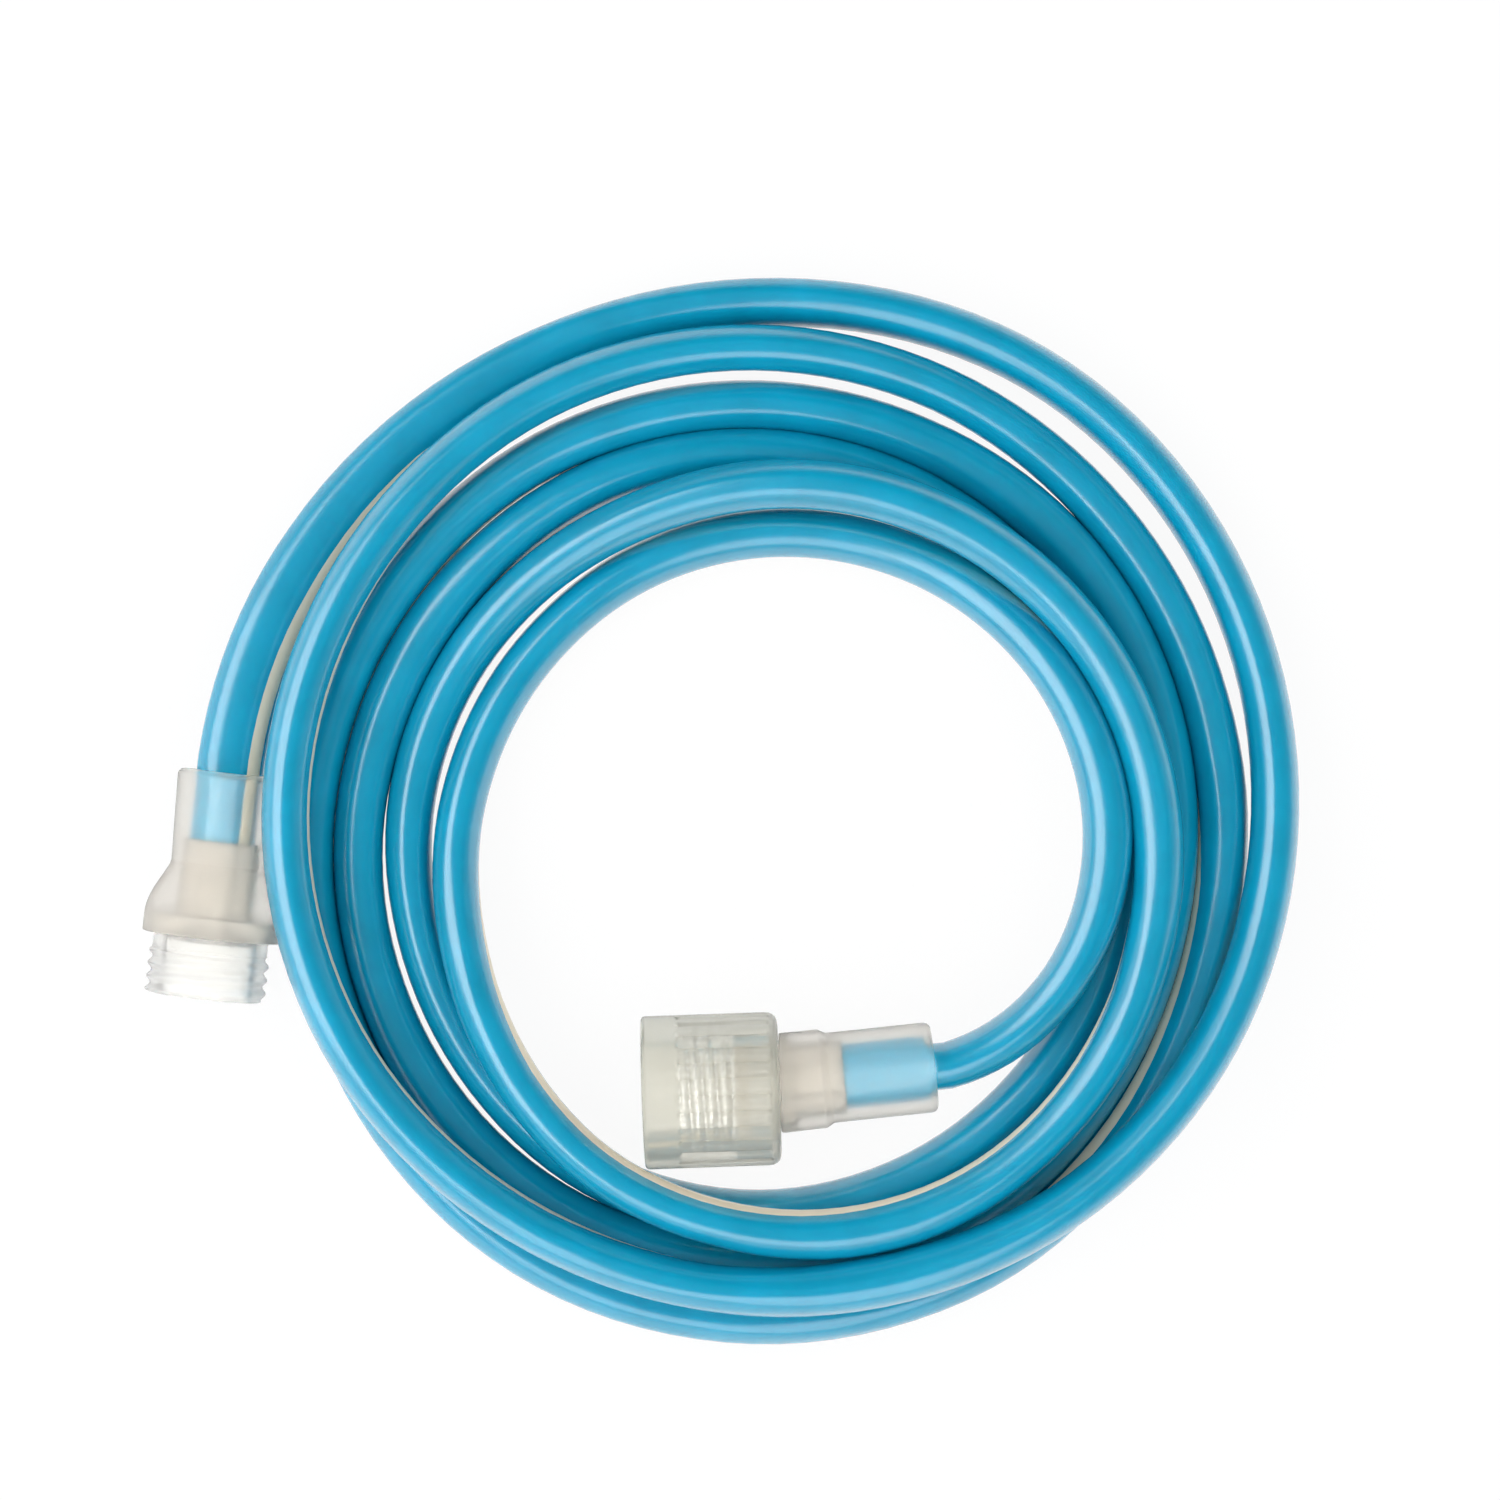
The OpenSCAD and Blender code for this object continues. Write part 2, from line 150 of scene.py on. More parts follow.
def linear(hex_colour):
    """An sRGB hex colour as the linear values that a shader takes."""
    parts = [int(hex_colour[n:n + 2], 16) / 255 for n in (1, 3, 5)]
    return (*[c / 12.92 if c <= 0.04045 else ((c + 0.055) / 1.055) ** 2.4 for c in parts], 1.0)


def add_node(tree, kind, links=(), **settings):
    """Adds a node, sets its sockets and properties by name and links (from, output, input)."""
    made = tree.nodes.new(kind)
    for key, value in settings.items():
        label = key.replace("_", " ").lower()
        sockets = [s for s in made.inputs if s.name.lower() == label and s.enabled]
        if sockets:
            sockets[0].default_value = value
        else:
            setattr(made, key, value)
    for source, output, target in links:
        tree.links.new(source.outputs[output], made.inputs[target])
    return made


def new_material(name):
    """An empty node material, whose tree the section fills in."""
    material = bpy.data.materials.new(name)
    material.use_nodes = True
    material.node_tree.nodes.clear()
    return material, material.node_tree


# The rings inside the sleeves are placed by their share of the length held there, and go from
# round on the stem to the oval of the open tube.
HELD_AT = np.array([0.0, 0.25, 0.5, 0.75, 0.9])
HELD_OVAL = [0, 0, 0, 0, 0.1]
head_rings = [[*(HEAD_MOUTH - HEAD_HOLD * (1 - t) * HEAD_WAY), HEAD_ROLL] for t in HELD_AT]
tail_rings = [[*(TAIL_MOUTH - TAIL_HOLD * (1 - t) * TAIL_WAY), 0.0] for t in HELD_AT[::-1]]
rings = np.vstack([head_rings, open_route(), tail_rings])
oval = np.ones(len(rings))
oval[:len(HELD_OVAL)] = HELD_OVAL
oval[-len(HELD_OVAL):] = HELD_OVAL[::-1]
wide, high = ring_frames(rings)

# Daylight shows between neighbouring loops in four places: least and most distance from the coil's
# middle, and the angles it runs between.
DAYLIGHT = [(99, 112, 2, 92), (90, 106, 56, 140), (84, 98, 182, 238), (62, 78, 123, 190)]

# Everywhere else, loops that run side by side at about the same height press on each other.
LEAST_SWELL, WIDEST_GAP, PRESS = 0.1, 3.0, 0.12
SAME_HEIGHT, SAME_HEIGHT_NEXT = 4, 14       # the next loop of the same strand may be climbing
SAME_PLACE = 0.005                          # in turns round the coil
LAID_FLAT = 30                              # roll past which a ring isn't pressed
EVENED_OVER = 9                             # rings
SEEN_FROM = 1085                            # height above the tube from which the gaps are judged


def pressed_out(rings):
    """How far the outer and inner side of each ring swell to meet the loops beside it."""
    offset = rings[:, :2] - COIL_MIDDLE
    reach = np.hypot(*offset.T) * (1.0 + (rings[:, 2] - LYING_AT) / SEEN_FROM)
    angle = np.unwrap(np.arctan2(offset[:, 1], offset[:, 0]))
    swell = np.full((len(rings), 2), LEAST_SWELL)
    for i in range(len(rings)):
        for j in range(len(rings)):
            turns = abs(angle[i] - angle[j]) / (2 * math.pi)
            if turns < 0.9 or abs(turns - round(turns)) > SAME_PLACE:
                continue
            if max(rings[i, 3], rings[j, 3]) > LAID_FLAT:
                continue
            gap, middle = abs(reach[i] - reach[j]) - OVAL_WIDE, (reach[i] + reach[j]) / 2
            at = math.degrees(angle[i]) % 360
            lit = any(low < middle < high and (start <= at <= end or start <= at - 360 <= end)
                      for low, high, start, end in DAYLIGHT)
            rise = abs(rings[i, 2] - rings[j, 2])
            beside = rise < (SAME_HEIGHT_NEXT if turns < 1.1 else SAME_HEIGHT)
            if 0 < gap < WIDEST_GAP and beside and not lit:
                side = 0 if reach[j] > reach[i] else 1
                swell[i, side] = max(swell[i, side], gap / 2 + PRESS)
    return [np.convolve(np.pad(side, EVENED_OVER // 2, mode="edge"),
                        np.ones(EVENED_OVER) / EVENED_OVER, mode="valid") for side in swell.T]


# The oval keeps its girth: a ring that its neighbours leave room swells sideways and sinks.
outer_swell, inner_swell = pressed_out(rings)
half_wide = TUBE_OD / 2 + oval * ((OVAL_WIDE - TUBE_OD) / 2 + (outer_swell + inner_swell) / 2)
half_high = np.sqrt(2 * (TUBE_OD / 2) ** 2 - half_wide ** 2)
rings[:, :3] += (oval * (outer_swell - inner_swell) / 2)[:, None] * wide

# The tube twists a little as it is laid, so its stripe comes up to the inner edge here and there:
# degrees wound from the male end, and the twist there in degrees.
TWISTS = [
    (0, 0), (25, 0), (45, -12), (60, -8), (75, 0), (270, 0), (300, -45), (380, -42), (410, -20),
    (530, -20), (550, -60), (580, -78), (605, -78), (640, -20), (720, -40), (765, -40), (800, -20),
    (1100, -20), (1120, -42), (1145, -42), (1200, -20), (1500, -15), (1545, -32), (1580, -15),
    (1630, -15), (1660, -50), (1720, -65), (1755, -65), (1800, -20), (2200, 0)]
offset = rings[:, :2] - COIL_MIDDLE
angle = np.degrees(np.unwrap(np.arctan2(offset[:, 1], offset[:, 0])))
first_angle = math.degrees(math.atan2(offset[0, 1], offset[0, 0])) % 360
twist = np.interp(180 - (angle - angle[0] + first_angle), *np.array(TWISTS).T)

SECTION = 48                        # points round the tube
DIE_LINES, DIE_DEEP = 8, 0.05       # faint lengthwise waves left by the extrusion die


def tube_rows(inset):
    """Loops of points round the tube, inset from its outer skin and pressed flat on the ground."""
    turn = np.radians(360 / SECTION * (np.arange(SECTION) + 0.5) + twist[:, None])[:, :, None]
    wave = DIE_DEEP * np.cos(np.radians(360 * DIE_LINES / SECTION) * np.arange(SECTION))
    across = (half_wide - inset)[:, None, None] + wave[None, :, None]
    upward = (half_high - inset)[:, None, None] + wave[None, :, None]
    rows = (rings[:, None, :3] + across * np.cos(turn) * wide[:, None]
            + upward * np.sin(turn) * high[:, None])
    rows[:, :, 2] = np.maximum(rows[:, :, 2], inset)
    return rows


tube = skin("wound_tube", np.vstack([tube_rows(0.0), tube_rows(WALL)[::-1]]), "hose",
            ["hose_coil", "hose_end_male", "hose_end_female"], sharp=60)

# Plasticised PVC as it comes from the extruder: glossy, cloudy rather than clear, and tinted right
# through, so that light spreads inside it and softens its shading.
CLOUD = 11.0        # mm across the faint clouds in its tint
vinyl, tree = new_material("blue_vinyl")
where = add_node(tree, "ShaderNodeTexCoord")
cloud = add_node(tree, "ShaderNodeTexNoise", [(where, "Object", "Vector")],
                 Scale=1000 / CLOUD, Detail=3.0)
tint = add_node(tree, "ShaderNodeMix", [(cloud, "Fac", "Factor")], data_type="RGBA")
tint.inputs["A"].default_value = linear("#0092B2")
tint.inputs["B"].default_value = linear("#00A7CC")
shade = add_node(tree, "ShaderNodeBsdfPrincipled", [(tint, "Result", "Base Color")],
                 Roughness=0.26, IOR=1.53, Transmission_Weight=0.06, Subsurface_Weight=0.75,
                 Subsurface_Scale=0.003, Subsurface_Radius=(0.3, 0.9, 1.0), Specular_IOR_Level=1.0,
                 Coat_Weight=0.8, Coat_Roughness=0.24)
add_node(tree, "ShaderNodeOutputMaterial", [(shade, "BSDF", "Surface")])
tube.data.materials.append(vinyl)

# The stripe is the same PVC filled with an opaque cream pigment.
MOTTLE = 3.3        # mm across its uneven patches of pigment, coarser than real so that they show
cream, tree = new_material("cream_vinyl")
where = add_node(tree, "ShaderNodeTexCoord")
cloud = add_node(tree, "ShaderNodeTexNoise", [(where, "Object", "Vector")],
                 Scale=1000 / MOTTLE, Detail=3.0)
tint = add_node(tree, "ShaderNodeMix", [(cloud, "Fac", "Factor")], data_type="RGBA")
tint.inputs["A"].default_value = linear("#E0D3B8")
tint.inputs["B"].default_value = linear("#ECE1CB")
bump = add_node(tree, "ShaderNodeBump", [(cloud, "Fac", "Height")], Strength=0.2, Distance=0.0002)
shade = add_node(tree, "ShaderNodeBsdfPrincipled",
                 [(tint, "Result", "Base Color"), (bump, "Normal", "Normal")],
                 Roughness=0.34, IOR=1.53)
add_node(tree, "ShaderNodeOutputMaterial", [(shade, "BSDF", "Surface")])
tube.data.materials.append(cream)
STRIPE = (27, 28, 29, 30)           # the faces of a ring that it takes up, 206 to 236 degrees round
for n, polygon in enumerate(tube.data.polygons):
    polygon.material_index = int(n % SECTION in STRIPE and n // SECTION < len(rings) - 1)

# ---- Threaded head ----
# Hard milky plastic, injection moulded: a coarse right-hand thread of four turns, a plain neck, a
# core and a barbed stem that the tube is pushed over, bored through for the water.
HEAD_PITCH, HEAD_FIRST, HEAD_RIDGE = 2.94, 0.5, 0.95
THREAD_FROM, THREAD_TO = -0.1, 10.3     # stations between which the thread runs
WATER_R = 3.5                           # the way for the water through both stems


def rounded(corners, bends=5):
    """A closed outline of (radius, station, fillet) corners as points, with its fillets as arcs."""
    outline = []
    for n, (radius, station, *fillet) in enumerate(corners):
        here = np.array([radius, station])
        before = np.array(corners[n - 1][:2]) - here
        after = np.array(corners[(n + 1) % len(corners)][:2]) - here
        back, ahead = np.linalg.norm(before), np.linalg.norm(after)
        reach = min(fillet[0] if fillet else 0.0, 0.49 * back, 0.49 * ahead)
        if reach < 0.02:
            outline.append(here)
            continue
        start, end = here + before / back * reach, here + after / ahead * reach
        for t in np.linspace(0, 1, bends + 1):
            outline.append((1 - t) ** 2 * start + 2 * t * (1 - t) * here + t ** 2 * end)
    return np.array(outline)


def held(outline, longest=1.2, margin=0.12):
    """The same outline with points just inside both ends of each run, so that flats shade flat."""
    dense = []
    for n, here in enumerate(outline):
        there = outline[(n + 1) % len(outline)]
        run = np.linalg.norm(there - here)
        dense.append(here)
        if run > 4 * margin:
            inner = np.linspace(margin / run, 1 - margin / run, max(2, int(run / longest) + 1))
            dense += [here + t * (there - here) for t in inner]
    return np.array(dense)


def turned_rows(outline, origin, way, sides=120, swell=None):
    """Loops of a turned shape, whose stations run from origin along way. A swell function of
    radius, station and turn gives another radius where the shape isn't round."""
    way = np.asarray(way)
    side = np.array([way[1], -way[0], 0.0])
    down = np.cross(way, side)
    turn = 2 * math.pi * np.arange(sides) / sides
    radius, station = outline[:, :1], outline[:, 1:]
    if swell is not None:
        radius = swell(radius, station, turn[None, :])
    radius = np.broadcast_to(radius, (len(outline), sides))
    return (origin + station[:, :, None] * way + radius[:, :, None]
            * (np.cos(turn)[None, :, None] * side + np.sin(turn)[None, :, None] * down))


def barbed(start, end, count, radius=TUBE_ID / 2, deep=0.6):
    """Corners of a barbed stem from its shoulder to its tip, which fills the tube's bore."""
    corners, step = [], (end - start) / count
    for n in range(count):
        corners += [(radius, start + n * step), (radius - deep, start + (n + 0.15) * step)]
    return corners + [(radius - deep, end - 0.1 * step, 0.3), (WATER_R, end)]


def ridge(station, turn, pitch, first, low, high):
    """Height from 0 to 1 of a rounded thread ridge, fading out at both ends of the thread."""
    phase = (station - first) / pitch - turn / (2 * math.pi) + 0.5
    height = 0.5 + 0.5 * np.cos(2 * math.pi * phase)
    return height * np.clip((station - low) / 0.5, 0, 1) * np.clip((high - station) / 0.9, 0, 1)


# Corners as radius, station from the male end and fillet: rim, thread, neck, collar, core, stem
# and the water way back to the rim.
head_outline = held(rounded([
    (9.5, 0.4), (9.9, 0.0), (12.35, 0.0, 0.5), (12.35, 9.9), (12.6, 10.1, 0.1), (12.6, 14.5),
    (13.4, 14.5), (13.4, 17.5), (7.5, 17.5), (7.5, 34.4)] + barbed(34.4, 47.2, 4)
    + [(WATER_R, 16.3), (9.5, 12.0)]), longest=0.35)


def head_swell(r, s, turn):
    """Thread ridges raised on the outside in front of the neck."""
    ridges = ridge(s, turn, HEAD_PITCH, HEAD_FIRST, THREAD_FROM, THREAD_TO)
    return r + np.where((r > 12) & (s < THREAD_TO), HEAD_RIDGE, 0) * ridges


head = skin("threaded_head", turned_rows(head_outline, HEAD_END, HEAD_WAY, swell=head_swell),
            "hose", ["male_insert"])

# Natural polypropylene from a plain tool: milky and see-through, so its ridges show soft edges.
PEEL = 1.4          # mm across the slight waves that a moulded face has
milky, tree = new_material("natural_polypropylene")
where = add_node(tree, "ShaderNodeTexCoord")
peel = add_node(tree, "ShaderNodeTexNoise", [(where, "Object", "Vector")],
                Scale=1000 / PEEL, Detail=2.0)
bump = add_node(tree, "ShaderNodeBump", [(peel, "Fac", "Height")], Strength=0.15, Distance=0.0002)
shade = add_node(tree, "ShaderNodeBsdfPrincipled", [(bump, "Normal", "Normal")],
                 Roughness=0.24, IOR=1.23, Transmission_Weight=0.8, Subsurface_Weight=1.0,
                 Subsurface_Scale=0.004, Subsurface_Radius=(1, 1, 1))
shade.inputs["Base Color"].default_value = linear("#FAF9F5")
add_node(tree, "ShaderNodeOutputMaterial", [(shade, "BSDF", "Surface")])
head.data.materials.append(milky)

# ---- Male sleeve ----
# Soft frosted vinyl moulded over the head's collar and the end of the tube: a bell over the
# collar that draws in to a grip, which widens a little toward its mouth.
GRIP_R, BELL_R, BELL_FROM, BELL_LONG = 10.6, 15.2, 16.9, 12.4
bell = [(GRIP_R + (BELL_R - GRIP_R) * (1 - u * u) ** 1.5, BELL_FROM + BELL_LONG * u)
        for u in np.linspace(0, 1, 17)]
sleeve_outline = held(rounded([(12.7, 13.3), (BELL_R, 13.3, 0.5)] + bell + [
    (11.4, 49.6, 1.7), (6.2, 49.6), (6.2, 34.25), (7.65, 34.25), (7.65, 17.65), (13.5, 17.65),
    (13.5, 14.35), (12.7, 14.35)]))
sleeve = skin("male_bell_sleeve", turned_rows(sleeve_outline, HEAD_END, HEAD_WAY),
              "hose", ["male_sleeve"])

# Frosted soft vinyl from a blasted tool: it lets light through but blurs what is inside it.
BLAST_GRAIN = 0.6   # mm, where the real grain is about 0.05 mm and would be too fine to show
frosted, tree = new_material("frosted_soft_vinyl")
where = add_node(tree, "ShaderNodeTexCoord")
grain = add_node(tree, "ShaderNodeTexNoise", [(where, "Object", "Vector")],
                 Scale=1000 / BLAST_GRAIN, Detail=2.0)
bump = add_node(tree, "ShaderNodeBump", [(grain, "Fac", "Height")], Strength=0.25, Distance=0.0001)
shade = add_node(tree, "ShaderNodeBsdfPrincipled", [(bump, "Normal", "Normal")],
                 Roughness=0.5, IOR=1.15, Transmission_Weight=0.87, Subsurface_Weight=1.0,
                 Subsurface_Scale=0.004, Subsurface_Radius=(1, 1, 1))
shade.inputs["Base Color"].default_value = linear("#EDE9E3")
add_node(tree, "ShaderNodeOutputMaterial", [(shade, "BSDF", "Surface")])
sleeve.data.materials.append(frosted)

# ---- Female tail ----
# The same milky plastic, injection moulded: a flange that the nut pulls on, a neck that it turns
# on, a core and a barbed stem for the tube. The neck and the flange stand out of the sleeve.
# Stations of the tail and of its sleeve run from the sleeve's mouth to the nut.
stem = [(r, s) for r, s, *_ in barbed(20.0, 2.4, 5)[:-1]][::-1]
tail_outline = held(rounded([(WATER_R, 2.4)] + stem + [
    (7.5, 20.0), (7.5, 31.1), (9.4, 31.1), (9.4, 37.7), (12.3, 37.7, 0.2), (12.3, 39.7, 0.4),
    (8.0, 39.7), (WATER_R, 33.1)]), longest=1.0)
tail = skin("flanged_tail", turned_rows(tail_outline, TAIL_MOUTH, -TAIL_WAY),
            "hose", ["female_tailpiece"])
tail.data.materials.append(milky)

# ---- Tail sleeve ----
# The same frosted vinyl moulded over tail and tube, thicker next to the nut. The nut hangs cocked
# against its soft end, which gives way, so that it closes the gap all round.
LEAN = 0.72         # half of what that end rises from its short side to its long side
tail_sleeve_outline = held(rounded([
    (6.2, 0.0), (9.9, 0.0, 2.6), (9.9, 23.1, 0.3), (10.85, 24.8, 0.3), (10.95, 33.4, 0.8),
    (9.5, 33.4), (9.5, 31.0), (7.6, 31.0), (7.6, 20.1), (6.2, 20.1)]))
tail_sleeve_rows = turned_rows(tail_sleeve_outline, TAIL_MOUTH, -TAIL_WAY)
end_face = (tail_sleeve_outline[:, 0] > 9.4) & (tail_sleeve_outline[:, 1] > 32)
sides = tail_sleeve_rows.shape[1]
longer = LEAN * (1 - np.cos(2 * math.pi * np.arange(sides) / sides))
tail_sleeve_rows[end_face] -= longer[:, None] * TAIL_WAY
tail_sleeve = skin("tail_sleeve", tail_sleeve_rows, "hose", ["female_sleeve"])
tail_sleeve.data.materials.append(frosted)

# ---- Swivel nut ----
# Frosted translucent plastic, injection moulded in one piece: a plain band at the mouth, 28 grip
# flutes and a coarse thread inside. It hangs loose on the tail's neck, cocked by a few degrees.
NUT_TILT, NUT_R, NUT_LONG, BORE_R, BACK_WALL = 2.0, 16.8, 30.0, 13.6, (10.9, 27.8)
NUT_WAY = np.array([math.cos(math.radians(NUT_TILT)), math.sin(math.radians(NUT_TILT)), 0.0])
NUT_MOUTH = np.array([-17.4788, -62.0263, 17.1])       # where the axis it turns on leaves it
FLUTES, FLUTE_DEEP, FLUTE_FROM, FLUTE_TO = 28, 0.6, 7.6, 28.4
NUT_PITCH, NUT_FIRST, NUT_RIDGE, NUT_THREAD = 3.04, 1.2, 1.1, (8.2, 20.4)
NUT_SIDES = FLUTES * 10


def nut_swell(r, s, turn):
    """Flutes cut into the outside and thread ridges raised on the inside."""
    wave = np.abs(np.cos(FLUTES * turn / 2)) ** 6
    cut = (FLUTE_DEEP * wave * np.clip((s - FLUTE_FROM) / 0.5, 0, 1)
           * np.clip((FLUTE_TO - s) / 0.9, 0, 1))
    thread = NUT_RIDGE * ridge(s, turn, NUT_PITCH, NUT_FIRST, *NUT_THREAD)
    return np.where(r > 15, r - cut, np.where(np.abs(r - BORE_R) < 0.1, r - thread, r))


nut_outline = held(rounded([
    (BORE_R, 1.0), (14.6, 0.0), (NUT_R, 0.0, 1.8), (NUT_R, NUT_LONG, 3.4), (10.9, NUT_LONG, 0.3),
    BACK_WALL, (14.0, 27.8), (14.0, 20.1), (BORE_R, 19.7)]), longest=0.35)
nut_rows = turned_rows(nut_outline, NUT_MOUTH, NUT_WAY, sides=NUT_SIDES, swell=nut_swell)
nut = skin("swivel_nut_shell", nut_rows, "nut", ["swivel_nut"])

# Harder than the sleeves and less clear, slightly green, with a fine spark-eroded grain.
SPARK_GRAIN = 0.8   # mm, where the real grain is about 0.05 mm and would be too fine to show
nut_plastic, tree = new_material("frosted_nut_plastic")
where = add_node(tree, "ShaderNodeTexCoord")
grain = add_node(tree, "ShaderNodeTexNoise", [(where, "Object", "Vector")],
                 Scale=1000 / SPARK_GRAIN, Detail=2.0)
bump = add_node(tree, "ShaderNodeBump", [(grain, "Fac", "Height")], Strength=0.2, Distance=0.0001)
shade = add_node(tree, "ShaderNodeBsdfPrincipled", [(bump, "Normal", "Normal")],
                 Roughness=0.25, IOR=1.17, Transmission_Weight=0.77, Subsurface_Weight=1.0,
                 Subsurface_Scale=0.004, Subsurface_Radius=(1, 1, 1))
shade.inputs["Base Color"].default_value = linear("#DEDDD4")
add_node(tree, "ShaderNodeOutputMaterial", [(shade, "BSDF", "Surface")])
nut.data.materials.append(nut_plastic)

# The bore comes off a polished core, so the thread inside glints through the frosted shell.
clear, tree = new_material("polished_bore_plastic")
where = add_node(tree, "ShaderNodeTexCoord")
peel = add_node(tree, "ShaderNodeTexNoise", [(where, "Object", "Vector")],
                Scale=1000 / PEEL, Detail=2.0)
bump = add_node(tree, "ShaderNodeBump", [(peel, "Fac", "Height")], Strength=0.15, Distance=0.0002)
shade = add_node(tree, "ShaderNodeBsdfPrincipled", [(bump, "Normal", "Normal")],
                 Roughness=0.18, IOR=1.48, Transmission_Weight=0.85)
shade.inputs["Base Color"].default_value = linear("#F4F2EC")
add_node(tree, "ShaderNodeOutputMaterial", [(shade, "BSDF", "Surface")])
nut.data.materials.append(clear)
bore_from = int(np.argmin(np.hypot(*(nut_outline - BACK_WALL).T)))
for n, polygon in enumerate(nut.data.polygons):
    polygon.material_index = int(n // NUT_SIDES >= bore_from)

# ---- Seal washer ----
# Flat ring of pale rubber, cut from a moulded tube. It is snapped into the relief behind the nut's
# thread and turns with the nut.
washer_outline = held(rounded([
    (8.0, 20.7, 0.3), (13.95, 20.7, 0.3), (13.95, 23.3, 0.3), (8.0, 23.3, 0.3)]))
washer = skin("seal_ring", turned_rows(washer_outline, NUT_MOUTH, NUT_WAY), "nut", ["seal_washer"])

# Moulded rubber with a dull bloom on its face, a little see-through.
BLOOM = 2.0         # mm across the patches of bloom
rubber, tree = new_material("pale_rubber")
where = add_node(tree, "ShaderNodeTexCoord")
bloom = add_node(tree, "ShaderNodeTexNoise", [(where, "Object", "Vector")],
                 Scale=1000 / BLOOM, Detail=2.0)
bump = add_node(tree, "ShaderNodeBump", [(bloom, "Fac", "Height")], Strength=0.2, Distance=0.0001)
shade = add_node(tree, "ShaderNodeBsdfPrincipled", [(bump, "Normal", "Normal")],
                 Roughness=0.5, IOR=1.2, Transmission_Weight=0.6)
shade.inputs["Base Color"].default_value = linear("#DDD8D0")
add_node(tree, "ShaderNodeOutputMaterial", [(shade, "BSDF", "Surface")])
washer.data.materials.append(rubber)

# ---- Ground ----
# A white paper sweep, 6 m wide, just under the hose. Most of it glows white to the eye, in the
# gloss and through the plastic, and the matt rest keeps a soft shadow.
ground_mesh = bpy.data.meshes.new("ground")
ground_mesh.from_pydata([(x, y, -0.0005) for x, y in ((-3, -3), (3, -3), (3, 3), (-3, 3))], [],
                        [(0, 1, 2, 3)])
ground = bpy.data.objects.new("ground", ground_mesh)
bpy.context.collection.objects.link(ground)
paper, tree = new_material("white_paper")
ray = add_node(tree, "ShaderNodeLightPath")
seen = add_node(tree, "ShaderNodeMath", [(ray, "Is Camera Ray", 0), (ray, "Is Glossy Ray", 1)],
                operation="MAXIMUM")
seen = add_node(tree, "ShaderNodeMath", [(seen, 0, 0), (ray, "Is Transmission Ray", 1)],
                operation="MAXIMUM")
share = add_node(tree, "ShaderNodeMath", [(seen, 0, 0)], operation="MULTIPLY")
share.inputs[1].default_value = 0.92        # the share that glows
glow = add_node(tree, "ShaderNodeEmission", Color=(1, 1, 1, 1), Strength=1.0)
matt = add_node(tree, "ShaderNodeBsdfDiffuse", Color=(0.85, 0.85, 0.85, 1))
both = add_node(tree, "ShaderNodeMixShader", [(share, 0, 0), (matt, 0, 1), (glow, 0, 2)])
add_node(tree, "ShaderNodeOutputMaterial", [(both, "Shader", "Surface")])
ground_mesh.materials.append(paper)

# ---- Studio ----
# Pale walls on the left and in front, a dim one behind on the right, and two softboxes halfway up.
# Light from the ceiling and from a scrim on the right fills the shadows, and both are kept out of
# the gloss. Lamps are placed in metres, and their strength is in watts.
world = bpy.data.worlds.new("studio")
bpy.context.scene.world = world
world.use_nodes = True
tree = world.node_tree
tree.nodes.clear()
where = add_node(tree, "ShaderNodeTexCoord")
height = add_node(tree, "ShaderNodeSeparateXYZ", [(where, "Generated", "Vector")])
wall = add_node(tree, "ShaderNodeMapRange", [(height, "Z", "Value")],
                interpolation_type="SMOOTHSTEP",
                From_Min=0.05, From_Max=0.5, To_Min=1.0, To_Max=0.06)
left_front = add_node(tree, "ShaderNodeVectorMath", [(where, "Generated", 0)],
                      operation="DOT_PRODUCT")
left_front.inputs[1].default_value = (-0.8, -0.6, 0.0)
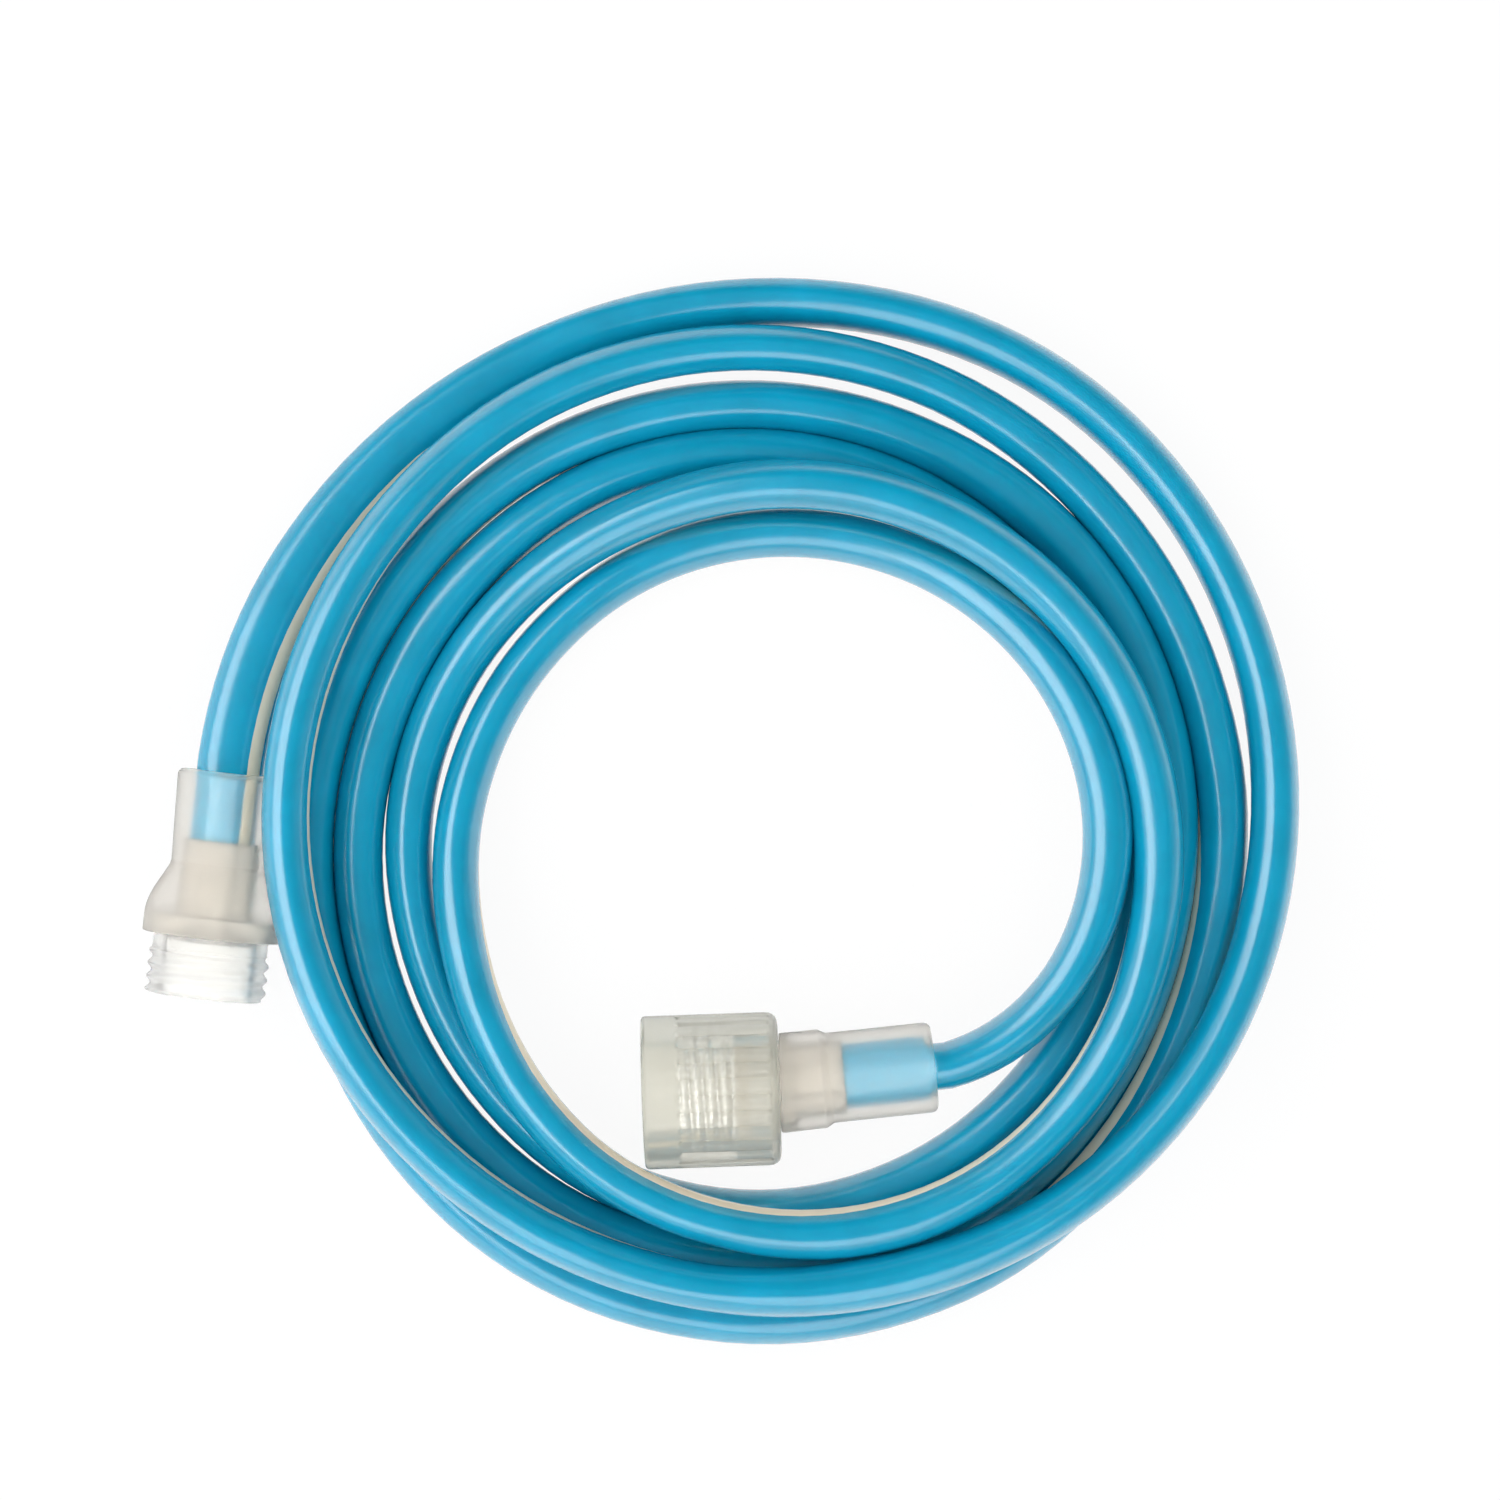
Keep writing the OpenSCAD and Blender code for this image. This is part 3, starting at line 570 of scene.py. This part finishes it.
side = add_node(tree, "ShaderNodeMapRange", [(left_front, "Value", "Value")],
                From_Min=-0.5, From_Max=0.5, To_Min=0.3, To_Max=1.0)
level = add_node(tree, "ShaderNodeMath", [(wall, "Result", 0), (side, "Result", 1)],
                 operation="MULTIPLY")
ray = add_node(tree, "ShaderNodeLightPath")
seen = add_node(tree, "ShaderNodeMath",
                [(ray, "Is Camera Ray", 0), (ray, "Is Transmission Ray", 1)],
                operation="MAXIMUM")
strength = add_node(tree, "ShaderNodeMath", [(level, 0, 0), (seen, 0, 1)], operation="MAXIMUM")
sky = add_node(tree, "ShaderNodeBackground", [(strength, 0, "Strength")], Color=(1, 1, 1, 1))
add_node(tree, "ShaderNodeOutputWorld", [(sky, "Background", "Surface")])


def softbox(name, place, size, watts, in_gloss=True):
    """A softbox, wide by high in metres, that faces the middle of the coil."""
    lamp = bpy.data.lights.new(name, "AREA")
    lamp.shape, lamp.energy = "RECTANGLE", watts
    lamp.size, lamp.size_y = size
    made = bpy.data.objects.new(name, lamp)
    made.location = place
    made.rotation_euler = (-Vector(place)).to_track_quat("-Z", "Y").to_euler()
    made.visible_glossy = in_gloss
    bpy.context.collection.objects.link(made)


softbox("left_panel", (-0.93, 0.0, 0.9), (1.6, 1.0), 15)
softbox("front_panel", (-0.1, -0.95, 0.85), (1.2, 0.9), 6)
softbox("ceiling_bounce", (0.0, 0.0, 2.2), (2.4, 2.4), 25, in_gloss=False)
softbox("right_scrim", (1.0, 0.3, 0.8), (1.6, 1.4), 10, in_gloss=False)

# ---- Camera ----
# It looks straight down from 1.1 m above the table. The picture is 330 mm wide at the height of
# the male fitting's axis.
EYE_HIGH, SENSOR, PICTURE_WIDE = 1.1, 36.0, 0.330
camera = bpy.data.objects.new("overhead_camera", bpy.data.cameras.new("overhead_camera"))
camera.data.sensor_width = SENSOR
camera.data.lens = SENSOR * (EYE_HIGH - 0.0155) / PICTURE_WIDE
camera.data.clip_start = 0.05
camera.location = (0.0060, 0.0133, EYE_HIGH)
bpy.context.collection.objects.link(camera)
bpy.context.scene.camera = camera
bpy.context.scene.view_settings.view_transform = "Standard"
